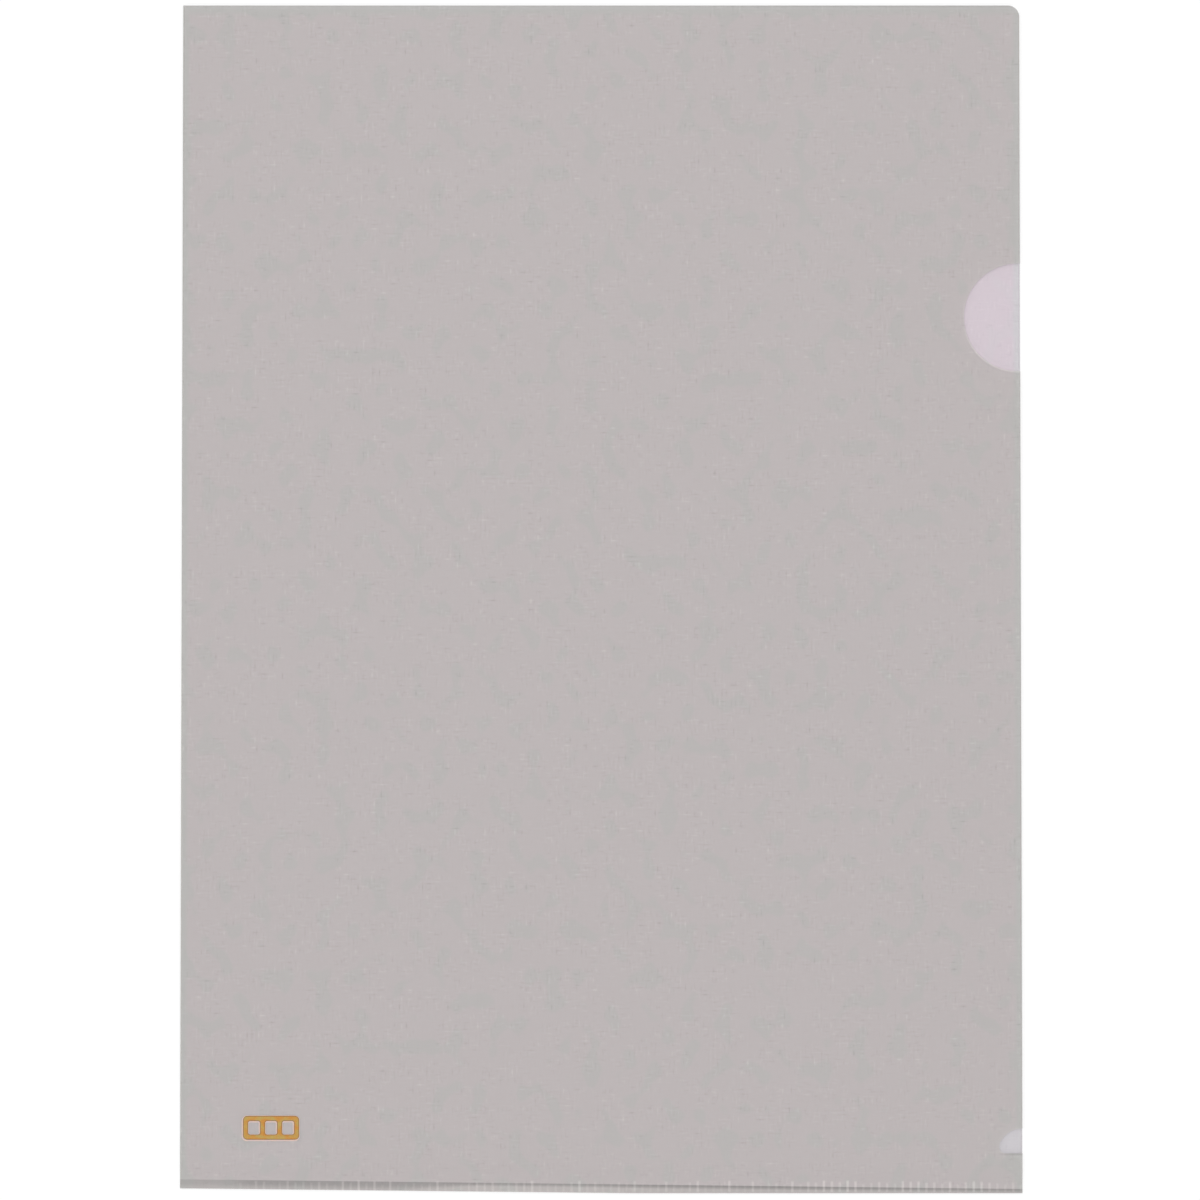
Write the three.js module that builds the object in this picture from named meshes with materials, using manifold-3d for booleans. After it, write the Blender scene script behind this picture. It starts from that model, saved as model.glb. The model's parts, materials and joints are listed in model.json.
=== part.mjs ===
// L-shaped plastic folder, lying closed on its back sheet.
//
// It is one sheet of translucent polypropylene film. The film is folded in two down
// the left side and heat-welded along the bottom, so the top and the right side stay
// open for paper. The front sheet has a thumb notch on the open side and a small
// relief notch just above the weld. A gold foil mark is stamped low on the front.
//
// The front sheet is held by the fold and the weld, and its free corner bends up.
// That bend is shared out over a row of narrow strips of film. Each strip turns
// against the next one about a bend line, and the lines run from the top of the fold
// side to the relief notch and parallel to that.
//
// Units are millimetres. +X points to the open side, +Y to the open top and +Z out of
// the front sheet. The origin is under the middle of the folder, on the plane that
// the back sheet lies on.

import * as THREE from 'three';
import { mergeVertices } from 'three/addons/utils/BufferGeometryUtils.js';
import Module from 'manifold-3d';

const wasm = await Module();
wasm.setup();

// Whole folder
const folderWidth = 219;
const folderHeight = 310;
const filmThickness = 0.18;
const pocketGap = 0.3;
const cornerRadius = 3;

// Thumb notch, a round cut whose centre lies a little inside the open side
const thumbNotchRadius = 14.1;
const thumbNotchInset = 0.57;
const thumbNotchHeight = 228.15;

// Relief notch, a quarter disc with a flat lower side and one blunt corner
const reliefNotchRadius = 6.4;
const reliefNotchHeight = 10.4;
const reliefCornerRadius = 1.7;

// Weld, where both layers are pressed into one ribbed strip, and the shoulder where
// the front film climbs from it to its own level
const weldWidth = 2.1;
const weldThickness = 0.3;
const weldShoulderLength = 2.4;
const weldGroovePitch = 2.05;
const weldGrooveWidth = 0.5;
const weldGrooveDepth = 0.08;
const weldPlainAtFold = 15.5;
const weldPlainAtOpening = 1.4;

// Bend of the free corner of the front sheet. The first bend line meets the open side
// inside the relief notch, this far above the notch's flat side.
const bendLineAboveFlat = 3.05;
const bendLineCount = 8;
const bendLineSpacing = 9;
const bendSlit = 0.3;

// Foil mark, a plain bar with a row of windows, placed by its lower left corner
const foilWidth = 14.6;
const foilHeight = 6.2;
const foilThickness = 0.03;
const foilStroke = 1.35;
const foilCornerRadius = 1.1;
const foilWindowCount = 3;
const foilFromFold = 16.4;
const foilFromBottom = 13.9;

// Roundness of arcs: a half circle gets twice as many straight steps
const notchSteps = 16;
const foldSteps = 6;
const foilSteps = 3;

// Places that follow from the sizes above
const left = -folderWidth / 2;
const right = folderWidth / 2;
const bottom = -folderHeight / 2;
const top = folderHeight / 2;
const closedThickness = 2 * filmThickness + pocketGap;
const frontLevel = filmThickness + pocketGap;
const foldRadius = closedThickness / 2;
const sheetLeft = left + foldRadius;
const weldTop = bottom + weldWidth;
const shoulderTop = weldTop + weldShoulderLength;
const reliefNotchFloor = bottom + reliefNotchHeight;
const thumbNotchCentre = bottom + thumbNotchHeight;

// The first bend line joins the top of the fold side to the relief notch
const bendLineStart = new THREE.Vector2(sheetLeft, top);
const bendLineEnd = new THREE.Vector2(right, reliefNotchFloor + bendLineAboveFlat);
const bendLineRun = bendLineEnd.clone().sub(bendLineStart);
const bendNormalAngle = Math.atan2(bendLineRun.x, -bendLineRun.y);

// Longer than any line that crosses the folder, so that cuts go right through
const cutLength = 2 * (folderWidth + folderHeight);

// Turns a shape's own x, y and depth into the folder's Y, Z and X
const alongX = new THREE.Matrix4().makeBasis(
  new THREE.Vector3(0, 1, 0),
  new THREE.Vector3(0, 0, 1),
  new THREE.Vector3(1, 0, 0),
);

// Turns a shape's own x, y and depth into the folder's X, Z and -Y
const alongMinusY = new THREE.Matrix4().makeBasis(
  new THREE.Vector3(1, 0, 0),
  new THREE.Vector3(0, 0, 1),
  new THREE.Vector3(0, -1, 0),
);

function extrude(shape, depth, curveSegments) {
  return new THREE.ExtrudeGeometry(shape, { depth, curveSegments, bevelEnabled: false });
}

// Closed solid for cutting and joining, from any closed three.js geometry
function toSolid(geometry) {
  const bare = geometry.clone();
  bare.deleteAttribute('normal');
  bare.deleteAttribute('uv');
  const merged = mergeVertices(bare);
  return new wasm.Manifold(new wasm.Mesh({
    numProp: 3,
    vertProperties: new Float32Array(merged.attributes.position.array),
    triVerts: new Uint32Array(merged.index.array),
  }));
}

function toGeometry(solid) {
  const mesh = solid.getMesh();
  const geometry = new THREE.BufferGeometry();
  geometry.setAttribute('position', new THREE.BufferAttribute(mesh.vertProperties, 3));
  geometry.setIndex(new THREE.BufferAttribute(mesh.triVerts, 1));
  const flat = geometry.toNonIndexed();
  flat.computeVertexNormals();
  return flat;
}

function filmMaterial() {
  return new THREE.MeshStandardMaterial({
    color: 0xbdb7b6,
    roughness: 0.42,
    metalness: 0,
    transparent: true,
    opacity: 0.75,
  });
}

function foilMaterial() {
  return new THREE.MeshStandardMaterial({ color: 0xdea532, roughness: 0.3, metalness: 0.9 });
}

function namedMesh(name, geometry, material) {
  const mesh = new THREE.Mesh(geometry, material);
  mesh.name = name;
  return mesh;
}

// Relief notch on an outline that climbs the open side: the flat, the blunt corner
// and the arc that leads back to the edge
function addReliefNotch(outline) {
  const inset = Math.sqrt((reliefNotchRadius - reliefCornerRadius) ** 2 - reliefCornerRadius ** 2);
  const cornerX = right - inset;
  const cornerY = reliefNotchFloor + reliefCornerRadius;
  const meeting = Math.PI - Math.atan2(reliefCornerRadius, inset);
  outline.lineTo(right, reliefNotchFloor);
  outline.lineTo(cornerX, reliefNotchFloor);
  outline.absarc(cornerX, cornerY, reliefCornerRadius, -Math.PI / 2, meeting, true);
  outline.absarc(right, reliefNotchFloor, reliefNotchRadius, meeting, Math.PI / 2, true);
}

// Thumb notch on the same outline: an arc that leaves the open side and returns to it,
// a little longer than a half circle
function addThumbNotch(outline) {
  const quarter = Math.PI / 2;
  const overrun = Math.asin(thumbNotchInset / thumbNotchRadius);
  const halfOpening = thumbNotchRadius * Math.cos(overrun);
  const centreX = right - thumbNotchInset;
  outline.lineTo(right, thumbNotchCentre - halfOpening);
  outline.absarc(
    centreX, thumbNotchCentre, thumbNotchRadius, overrun - quarter, quarter - overrun, true,
  );
}

// Flat part of either sheet above a given height, with its free corner rounded
function sheetOutline(lowerEdge, hasNotches) {
  const outline = new THREE.Shape();
  outline.moveTo(sheetLeft, lowerEdge);
  outline.lineTo(right, lowerEdge);
  if (hasNotches) {
    addReliefNotch(outline);
    addThumbNotch(outline);
  }
  outline.lineTo(right, top - cornerRadius);
  outline.absarc(right - cornerRadius, top - cornerRadius, cornerRadius, 0, Math.PI / 2, false);
  outline.lineTo(sheetLeft, top);
  outline.closePath();
  return outline;
}

function backSheet() {
  const geometry = extrude(sheetOutline(weldTop, false), filmThickness, notchSteps);
  return namedMesh('back_sheet', geometry, filmMaterial());
}

// Side view of the front film's climb, from a given level at the weld's upper edge
function climbProfile(lowestLevel) {
  const profile = new THREE.Shape();
  profile.moveTo(weldTop, lowestLevel);
  profile.lineTo(weldTop, weldThickness);
  profile.lineTo(shoulderTop, closedThickness);
  return profile;
}

// Half tube that joins the two sheets down the left side. Its lower end is pinched
// shut and tapers to the weld.
function spineFold() {
  const innerRadius = foldRadius - filmThickness;
  const profile = new THREE.Shape();
  profile.moveTo(0, -foldRadius);
  profile.absarc(0, 0, foldRadius, -Math.PI / 2, Math.PI / 2, true);
  profile.lineTo(0, innerRadius);
  profile.absarc(0, 0, innerRadius, Math.PI / 2, -Math.PI / 2, false);
  profile.closePath();
  const tube = extrude(profile, top - shoulderTop, foldSteps);
  tube.applyMatrix4(alongMinusY);
  tube.translate(sheetLeft, top, foldRadius);
  const taper = climbProfile(0);
  taper.lineTo(shoulderTop, 0);
  taper.closePath();
  const pinchedEnd = extrude(taper, foldRadius, foldSteps);
  pinchedEnd.applyMatrix4(alongX);
  pinchedEnd.translate(left, 0, 0);
  const fold = toSolid(tube).add(toSolid(pinchedEnd));
  return namedMesh('spine_fold', toGeometry(fold), filmMaterial());
}

// Slab between two distances from the first bend line, measured towards the free corner
function bandAcrossSheet(from, to) {
  const slab = new THREE.BoxGeometry(to - from, cutLength, cutLength);
  slab.translate((from + to) / 2, 0, 0);
  slab.rotateZ(bendNormalAngle);
  slab.translate(bendLineStart.x, bendLineStart.y, 0);
  return toSolid(slab);
}

// Front sheet in its parts: the one held by fold and weld, the bending strips and the
// free corner, with a slit on each bend line
function frontSheet() {
  const sheet = toSolid(extrude(sheetOutline(shoulderTop, true), filmThickness, notchSteps));
  const front = new THREE.Group();
  front.position.z = frontLevel;
  const addPart = (name, from, to) => {
    const part = sheet.intersect(bandAcrossSheet(from, to));
    front.add(namedMesh(name, toGeometry(part), filmMaterial()));
  };
  const lastLine = (bendLineCount - 1) * bendLineSpacing;
  addPart('front_sheet', -cutLength, -bendSlit / 2);
  for (let line = 0; line < bendLineCount - 1; line += 1) {
    const from = line * bendLineSpacing + bendSlit / 2;
    addPart(`front_bend_strip_${line + 1}`, from, from + bendLineSpacing - bendSlit);
  }
  addPart('front_free_corner', lastLine + bendSlit / 2, cutLength);
  return front;
}

// Front film between the weld and its own level. Its underside leaves the back layer
// where the pocket begins.
function weldShoulder() {
  const climb = (closedThickness - weldThickness) / weldShoulderLength;
  const pocketFloor = weldTop + (2 * filmThickness - weldThickness) / climb;
  const profile = climbProfile(filmThickness);
  profile.lineTo(shoulderTop, frontLevel);
  profile.lineTo(pocketFloor, filmThickness);
  profile.closePath();
  const geometry = extrude(profile, right - sheetLeft, foldSteps);
  geometry.applyMatrix4(alongX);
  const shoulder = namedMesh('weld_shoulder', geometry, filmMaterial());
  shoulder.position.x = sheetLeft;
  return shoulder;
}

function weldGroove(x) {
  const groove = new THREE.BoxGeometry(weldGrooveWidth, 2 * weldWidth, 2 * weldGrooveDepth);
  groove.translate(x, bottom, weldThickness);
  return toSolid(groove);
}

// Fused strip along the bottom, with its row of pressed grooves
function bottomWeld() {
  const strip = new THREE.BoxGeometry(folderWidth, weldWidth, weldThickness);
  strip.translate(0, bottom + weldWidth / 2, weldThickness / 2);
  let weld = toSolid(strip);
  const firstGroove = left + weldPlainAtFold;
  const lastGroove = right - weldPlainAtOpening;
  for (let x = firstGroove; x <= lastGroove; x += weldGroovePitch) {
    weld = weld.subtract(weldGroove(x));
  }
  return namedMesh('bottom_weld', toGeometry(weld), filmMaterial());
}

// Rectangle with rounded corners, written to any path from its lower left corner
function roundedRectangle(path, x, y, width, height, radius) {
  const quarter = Math.PI / 2;
  path.moveTo(x + radius, y);
  path.lineTo(x + width - radius, y);
  path.absarc(x + width - radius, y + radius, radius, -quarter, 0, false);
  path.lineTo(x + width, y + height - radius);
  path.absarc(x + width - radius, y + height - radius, radius, 0, quarter, false);
  path.lineTo(x + radius, y + height);
  path.absarc(x + radius, y + height - radius, radius, quarter, 2 * quarter, false);
  path.lineTo(x, y + radius);
  path.absarc(x + radius, y + radius, radius, 2 * quarter, 3 * quarter, false);
  path.closePath();
  return path;
}

function foilMark() {
  const windowWidth = (foilWidth - (foilWindowCount + 1) * foilStroke) / foilWindowCount;
  const windowHeight = foilHeight - 2 * foilStroke;
  const windowRadius = foilCornerRadius / 2;
  const outline = roundedRectangle(new THREE.Shape(), 0, 0, foilWidth, foilHeight, foilCornerRadius);
  for (let place = 0; place < foilWindowCount; place += 1) {
    const x = foilStroke + place * (windowWidth + foilStroke);
    outline.holes.push(
      roundedRectangle(new THREE.Path(), x, foilStroke, windowWidth, windowHeight, windowRadius),
    );
  }
  const mark = namedMesh('foil_mark', extrude(outline, foilThickness, foilSteps), foilMaterial());
  mark.position.set(left + foilFromFold, bottom + foilFromBottom, closedThickness);
  return mark;
}

const folder = new THREE.Group();
folder.name = 'l_shaped_folder';
folder.add(backSheet(), spineFold(), frontSheet(), weldShoulder(), bottomWeld(), foilMark());

export default folder;
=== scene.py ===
# %% [markdown]
# # A translucent document folder
#
# The real folder is one sheet of polypropylene film. It is folded in two down the left
# side, welded along the bottom, and open at the top and on the right. A thumb notch and a
# small relief notch are punched in the front layer only, and a gold foil mark is stamped
# low on the front.
#
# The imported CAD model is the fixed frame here: it gives every size and place, and each
# piece below replaces the plain solid of the same film with a finished one.

# %% Load the frame
import json
import math

import bmesh
import bpy
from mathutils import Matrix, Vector


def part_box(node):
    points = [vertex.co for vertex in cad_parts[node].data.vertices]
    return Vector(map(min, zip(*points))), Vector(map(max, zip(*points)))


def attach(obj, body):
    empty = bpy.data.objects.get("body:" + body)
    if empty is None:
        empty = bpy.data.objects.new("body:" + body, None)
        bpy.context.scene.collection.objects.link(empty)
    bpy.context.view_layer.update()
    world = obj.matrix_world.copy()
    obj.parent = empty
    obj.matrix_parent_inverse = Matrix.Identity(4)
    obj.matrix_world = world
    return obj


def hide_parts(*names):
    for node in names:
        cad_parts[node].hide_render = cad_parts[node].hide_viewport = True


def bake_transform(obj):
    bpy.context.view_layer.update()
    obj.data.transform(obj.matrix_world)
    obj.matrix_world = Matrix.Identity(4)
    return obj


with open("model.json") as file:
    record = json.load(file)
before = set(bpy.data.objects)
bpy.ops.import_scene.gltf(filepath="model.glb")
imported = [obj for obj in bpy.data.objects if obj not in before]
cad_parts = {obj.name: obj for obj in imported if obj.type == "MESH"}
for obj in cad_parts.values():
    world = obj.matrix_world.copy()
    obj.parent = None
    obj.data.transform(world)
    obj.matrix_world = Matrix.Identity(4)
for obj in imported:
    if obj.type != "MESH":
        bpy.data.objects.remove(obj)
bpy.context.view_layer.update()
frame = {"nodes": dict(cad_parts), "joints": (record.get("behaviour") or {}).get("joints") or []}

print("CAD nodes:", ", ".join(sorted(frame["nodes"])))

# %% [markdown]
# ## Sizes
#
# Blender works in metres. Most sizes are read from the frame, so that the pieces always
# meet the solids. Only what the frame doesn't tell, such as the radius of a notch, is
# written here again. The cutting die rounds the outline's free corners, and blunts one
# corner of the relief notch.

# %% Sizes from the frame
MM = 0.001

back_low, back_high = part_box("back_sheet")
front_low, front_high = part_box("front_sheet")
weld_low, weld_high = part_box("bottom_weld")
foil_low, foil_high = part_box("foil_mark")

LEFT, BOTTOM = weld_low.x, weld_low.y
RIGHT, TOP = back_high.x, back_high.y
SHEET_LEFT = back_low.x
FILM = back_high.z
FRONT_LEVEL, CLOSED = front_low.z, front_high.z
WELD_THICKNESS = weld_high.z
FOLD_RADIUS = SHEET_LEFT - LEFT

print(f"film {FILM / MM:.2f} mm, closed folder {CLOSED / MM:.2f} mm thick")
print(f"sheet from x {SHEET_LEFT / MM:.2f} to {RIGHT / MM:.2f} mm")

# %% Sizes of the cut outline
CORNER_RADIUS = 3 * MM
THUMB_RADIUS = 14.1 * MM
THUMB_INSET = 0.57 * MM
THUMB_CENTRE = Vector((RIGHT - THUMB_INSET, BOTTOM + 228.15 * MM))
RELIEF_RADIUS = 6.4 * MM
RELIEF_FLOOR = BOTTOM + 10.4 * MM
RELIEF_BLUNT = 1.7 * MM
CUT_BEVEL = 0.03 * MM

# %% [markdown]
# ## The weld's own lines
#
# The weld was made with a hot toothed bar, a little out of square. Its upper edge
# therefore slants down towards the open side, and the film was trimmed along the bottom
# with a slight rise near the fold. The teeth left a row of short marks at an even pitch.
# These lines are functions, because several pieces and one finish need them.

# %% Weld lines
WELD_AT_FOLD = 3.6 * MM
WELD_AT_OPENING = 1.1 * MM
TRIM_RISE = 1.25 * MM
TRIM_RISE_END = 8 * MM

TOOTH_PITCH = 2.05 * MM
TOOTH_WIDTH = 0.5 * MM
TOOTH_DEPTH = 0.06 * MM
TOOTH_LOW = BOTTOM + 0.5 * MM
TOOTH_HIGH = BOTTOM + 2.9 * MM
FIRST_TOOTH = LEFT + 15.7 * MM
TOOTH_COUNT = 99
CLIMB_END = BOTTOM + 8 * MM


def weld_line(x):
    """Height of the weld's upper edge."""
    return BOTTOM + WELD_AT_FOLD + (WELD_AT_OPENING - WELD_AT_FOLD) * (x - LEFT) / (RIGHT - LEFT)


def smooth(share):
    """0 to 1 with a soft start and a soft end."""
    share = min(max(share, 0), 1)
    return share * share * (3 - 2 * share)


def front_film_top(x, y):
    """Height of the front film: it climbs from the weld to its own level."""
    share = (y - weld_line(x)) / (CLIMB_END - weld_line(x))
    return WELD_THICKNESS + (CLOSED - WELD_THICKNESS) * smooth(share)


def tooth_mark(x, y):
    """How far a tooth of the bar pressed the film down at a place."""
    place = (x - FIRST_TOOTH) / TOOTH_PITCH
    nearest = round(place)
    if not 0 <= nearest < TOOTH_COUNT:
        return 0
    across = max(0, 1 - abs(place - nearest) * TOOTH_PITCH / (TOOTH_WIDTH / 2))
    along = smooth((y - TOOTH_LOW) / (0.3 * MM)) * smooth((TOOTH_HIGH - y) / (0.3 * MM))
    return TOOTH_DEPTH * across * along


last_tooth = FIRST_TOOTH + (TOOTH_COUNT - 1) * TOOTH_PITCH
print(f"{TOOTH_COUNT} tooth marks, the last one {(RIGHT - last_tooth) / MM:.1f} mm from the open side")

# %% [markdown]
# ## Drawing a cut sheet
#
# A factory cuts the film with a steel rule die: a blade that follows the outline. In
# Blender the outline could come from a curve object, or from a boolean that punches the
# notches. Here one vertex is walked along the outline instead, extruded on the straight
# stretches and spun about a centre on the round ones, which keeps the arcs exact and the
# mesh light.


# %% The cutting line
class CuttingLine:
    """Draws the line that a cutting die follows, as a chain of edges."""

    def __init__(self, bm, x, y):
        self.bm = bm
        self.start = bm.verts.new((x, y, 0))
        self.tip = self.start

    def line_to(self, x, y):
        made = bmesh.ops.extrude_vert_indiv(self.bm, verts=[self.tip])
        self.tip = made["verts"][0]
        self.tip.co = (x, y, 0)

    def arc(self, centre_x, centre_y, degrees, steps):
        made = bmesh.ops.spin(
            self.bm,
            geom=[self.tip],
            cent=(centre_x, centre_y, 0),
            axis=(0, 0, 1),
            angle=math.radians(degrees),
            steps=steps,
            use_duplicate=False,
        )
        self.tip = next(item for item in made["geom_last"] if isinstance(item, bmesh.types.BMVert))

    def close(self):
        self.bm.edges.new((self.tip, self.start))
        bmesh.ops.contextual_create(self.bm, geom=self.bm.edges[:])


def thicken(bm, low, high):
    """Gives the flat faces of a bmesh a thickness, from one level to another."""
    made = bmesh.ops.extrude_face_region(bm, geom=bm.faces[:])
    raised = [item for item in made["geom"] if isinstance(item, bmesh.types.BMVert)]
    bmesh.ops.translate(bm, vec=(0, 0, high - low), verts=raised)
    bmesh.ops.translate(bm, vec=(0, 0, low), verts=bm.verts[:])
    bmesh.ops.recalc_face_normals(bm, faces=bm.faces[:])


def everything(bm):
    return bm.verts[:] + bm.edges[:] + bm.faces[:]


# %% [markdown]
# ## Outer and inner faces of the film
#
# Every piece of film is a closed solid, so light passes two surfaces in each layer. The
# outer one gets the milky finish, and the one that faces the pocket gets a second, clear
# material, because a finish on both would count twice. At a fold, a weld or a bend line
# the real film runs on into its neighbour, so the end walls there are clear too. The cut
# edges of a real sheet are slightly rounded by the blade, which a tiny bevel gives.

# %% Helpers for the pieces of film
CLEAR = 1
UP, DOWN = 1, -1
BEVEL_SEGMENTS = 2
TILE = 20 * MM
SHARP_FROM = math.radians(20)


def round_cut_edges(bm, is_inner_wall, pocket_side):
    """Clears the pocket side and the walls where the film runs on, and bevels other rims."""
    rims = []
    for face in bm.faces:
        if abs(face.normal.z) > 0.5:
            if pocket_side and face.normal.z * pocket_side > 0:
                face.material_index = CLEAR
            continue
        if is_inner_wall(face):
            face.material_index = CLEAR
            continue
        rims += [edge for edge in face.edges if any(abs(f.normal.z) > 0.5 for f in edge.link_faces)]
    bevel(bm, rims, CUT_BEVEL, BEVEL_SEGMENTS)


def bevel(bm, edges, width, segments):
    """Rounds edges; the new faces take the material of their neighbours."""
    bmesh.ops.bevel(
        bm, geom=edges, offset=width, segments=segments, profile=0.5, affect="EDGES", material=-1
    )


def cut_away(bm, point, direction):
    """Removes what lies beyond a plane and closes the film there with an inner wall."""
    bmesh.ops.bisect_plane(
        bm, geom=everything(bm), dist=1e-8, plane_co=point, plane_no=direction, clear_outer=True
    )
    rim = [edge for edge in bm.edges if edge.is_boundary]
    walls = bmesh.ops.holes_fill(bm, edges=rim, sides=0)["faces"]
    for wall in walls:
        wall.material_index = CLEAR


def score(bm, point, direction):
    """Adds a line of vertices across a bmesh, where it will bend."""
    bmesh.ops.bisect_plane(bm, geom=everything(bm), dist=1e-8, plane_co=point, plane_no=direction)


def score_tiles(bm):
    """Divides large faces, because rounding errors show on long thin triangles."""
    for column in range(1, math.ceil((RIGHT - LEFT) / TILE)):
        score(bm, (LEFT + column * TILE, 0, 0), (1, 0, 0))
    for row in range(1, math.ceil((TOP - BOTTOM) / TILE)):
        score(bm, (0, BOTTOM + row * TILE, 0), (0, 1, 0))


def finish_piece(name, bm, *materials):
    """Turns a bmesh into an object, with the sheet's own x and y kept as its UV map."""
    bmesh.ops.recalc_face_normals(bm, faces=bm.faces[:])
    place = bm.loops.layers.uv.new("sheet_place")
    for face in bm.faces:
        face.smooth = True
        for loop in face.loops:
            loop[place].uv = loop.vert.co.xy
    mesh = bpy.data.meshes.new(name)
    bm.to_mesh(mesh)
    open_edges = sum(edge.is_boundary for edge in bm.edges)
    bm.free()
    mesh.set_sharp_from_angle(angle=SHARP_FROM)
    for material in materials:
        mesh.materials.append(material)
    piece = bpy.data.objects.new(name, mesh)
    bpy.context.scene.collection.objects.link(piece)
    print(f"{name}: {len(mesh.polygons)} faces, {open_edges} open edges")
    return piece


# %% [markdown]
# ## Writing materials as sums
#
# A procedural material is a small calculation that runs at every point of the surface.
# It reads better as a formula than as a list of nodes, so the class below wraps a node's
# output and lets Python's own signs make the Math nodes.


# %% The shader helper
class Wire:
    """An output of a node that can be used in a sum. Each sign adds a Math node."""

    def __init__(self, tree, socket):
        self.tree = tree
        self.socket = socket

    def node(self, kind, settings, sockets, output=0):
        return add_node(self.tree, kind, settings, sockets, output)

    def math(self, operation, *values):
        """A Math node on this wire, or on the values given instead."""
        values = values or (self,)
        return self.node("ShaderNodeMath", {"operation": operation}, dict(enumerate(values)))

    def __add__(self, other):
        return self.math("ADD", self, other)

    def __sub__(self, other):
        return self.math("SUBTRACT", self, other)

    def __mul__(self, other):
        return self.math("MULTIPLY", self, other)

    def __truediv__(self, other):
        return self.math("DIVIDE", self, other)

    def __radd__(self, other):
        return self.math("ADD", other, self)

    def __rsub__(self, other):
        return self.math("SUBTRACT", other, self)

    def step(self, low, high):
        """0 below one value and 1 above the other, soft in between; high may be the lower one."""
        settings = {"interpolation_type": "SMOOTHSTEP"}
        if low < high:
            return self.node("ShaderNodeMapRange", settings, {0: self, 1: low, 2: high})
        return 1 - self.step(high, low)


def add_node(tree, kind, settings, sockets, output=0):
    """Adds any node: its settings come first, then the values or wires of its sockets."""
    node = tree.nodes.new(kind)
    for name, value in settings.items():
        setattr(node, name, value)
    for name, value in sockets.items():
        if isinstance(value, Wire):
            tree.links.new(value.socket, node.inputs[name])
        else:
            node.inputs[name].default_value = value
    if node.outputs:
        return Wire(tree, node.outputs[output])


def new_material(name):
    material = bpy.data.materials.new(name)
    material.use_nodes = True
    material.node_tree.nodes.clear()
    return material, material.node_tree


def colour(red, green, blue):
    """A screen colour of 0 to 255 as the linear colour that a shader works with."""
    parts = [part / 255 for part in (red, green, blue)]
    return [part / 12.92 if part < 0.04045 else ((part + 0.055) / 1.055) ** 2.4 for part in parts] + [1]


def mix_colours(factor, first, second):
    """First colour at factor 0, second at factor 1."""
    sockets = {0: factor, 6: first, 7: second}
    return factor.node("ShaderNodeMix", {"data_type": "RGBA"}, sockets, output=2)


def scale_colour(wire, tone):
    """A colour made lighter or darker by a factor."""
    return wire.node("ShaderNodeVectorMath", {"operation": "SCALE"}, {0: wire, "Scale": tone})


# %% [markdown]
# ## The film's finish
#
# Polypropylene film is milky: part of the light goes straight through, and the rest is
# scattered. Alpha does that in a shader. The film was rolled between textured cylinders,
# which pressed a fine grain of short strokes along and across the sheet. Two stretched
# noise patterns give those strokes. Cubing each one, which keeps its sign, leaves most of
# the sheet calm and only some strokes strong. The pattern follows the UV map, so it stays
# on the film when the film bends. Its sizes are millimetres on the sheet, and the shifts
# take each noise from a place of its own, so that no two are alike.

# %% Film patterns
FILM_ALPHA = 0.59
WELD_ALPHA = 0.59
FRONT_WARM = colour(197.4, 190, 187.6)
FRONT_COOL = colour(190.5, 189.2, 184.5)
BACK_WARM = colour(194.2, 174, 188)
BACK_COOL = colour(185.5, 179, 186.5)
WELD_WARM = colour(191, 184, 182)
WELD_COOL = colour(188, 185, 182)


def sheet_millimetres(tree):
    """The place on the sheet in millimetres, as two wires."""
    uv = add_node(tree, "ShaderNodeUVMap", {"uv_map": "sheet_place"}, {})
    scaled = uv.node("ShaderNodeVectorMath", {"operation": "SCALE"}, {0: uv, "Scale": 1 / MM})
    x = scaled.node("ShaderNodeSeparateXYZ", {}, {0: scaled})
    return x, Wire(tree, x.socket.node.outputs[1])


def stretched_noise(x, y, size_x, size_y, detail=0.0):
    """Noise whose blots measure about size_x by size_y millimetres."""
    place = x.node("ShaderNodeCombineXYZ", {}, {0: x / size_x, 1: y / size_y})
    sockets = {"Vector": place, "Scale": 1.0, "Detail": detail}
    return x.node("ShaderNodeTexNoise", {"noise_dimensions": "2D"}, sockets)


STROKE_WIDTH, STROKE_LENGTH = 0.6, 2.4
AREA_WIDTH, AREA_HEIGHT = 7.0, 5.0
AREAS_FROM, AREAS_FULL = 0.35, 0.6
SHIFT_OF_LEVEL, SHIFT_OF_AREAS = 31.7, 17.3
WEAK_STROKES, STRONG_STROKES = 4, 18


def pressed_grain(x, y):
    """About -1 to 1, mostly near 0: short pale and dark strokes along and across the sheet."""
    upright = stretched_noise(x, y, STROKE_WIDTH, STROKE_LENGTH) - 0.5
    level = stretched_noise(x + SHIFT_OF_LEVEL, y, STROKE_LENGTH, STROKE_WIDTH) - 0.5
    strokes = upright * upright * upright + level * level * level
    areas = stretched_noise(x, y + SHIFT_OF_AREAS, AREA_WIDTH, AREA_HEIGHT)
    strong = areas.step(AREAS_FROM, AREAS_FULL)
    return strokes * (strong * (STRONG_STROKES - WEAK_STROKES) + WEAK_STROKES)


TOP_BAND_SHARE = 0.7
BAND_INNER, BAND_OUTER = 2.4, 0.8


def near_outline(x, y):
    """1 along the fold, the top and the open side, 0 further in; the top's band is wider."""
    from_sides = x.math("MINIMUM", x - LEFT / MM, RIGHT / MM - x)
    from_outline = x.math("MINIMUM", from_sides, (TOP / MM - y) * TOP_BAND_SHARE)
    return from_outline.step(BAND_INNER, BAND_OUTER)
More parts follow.
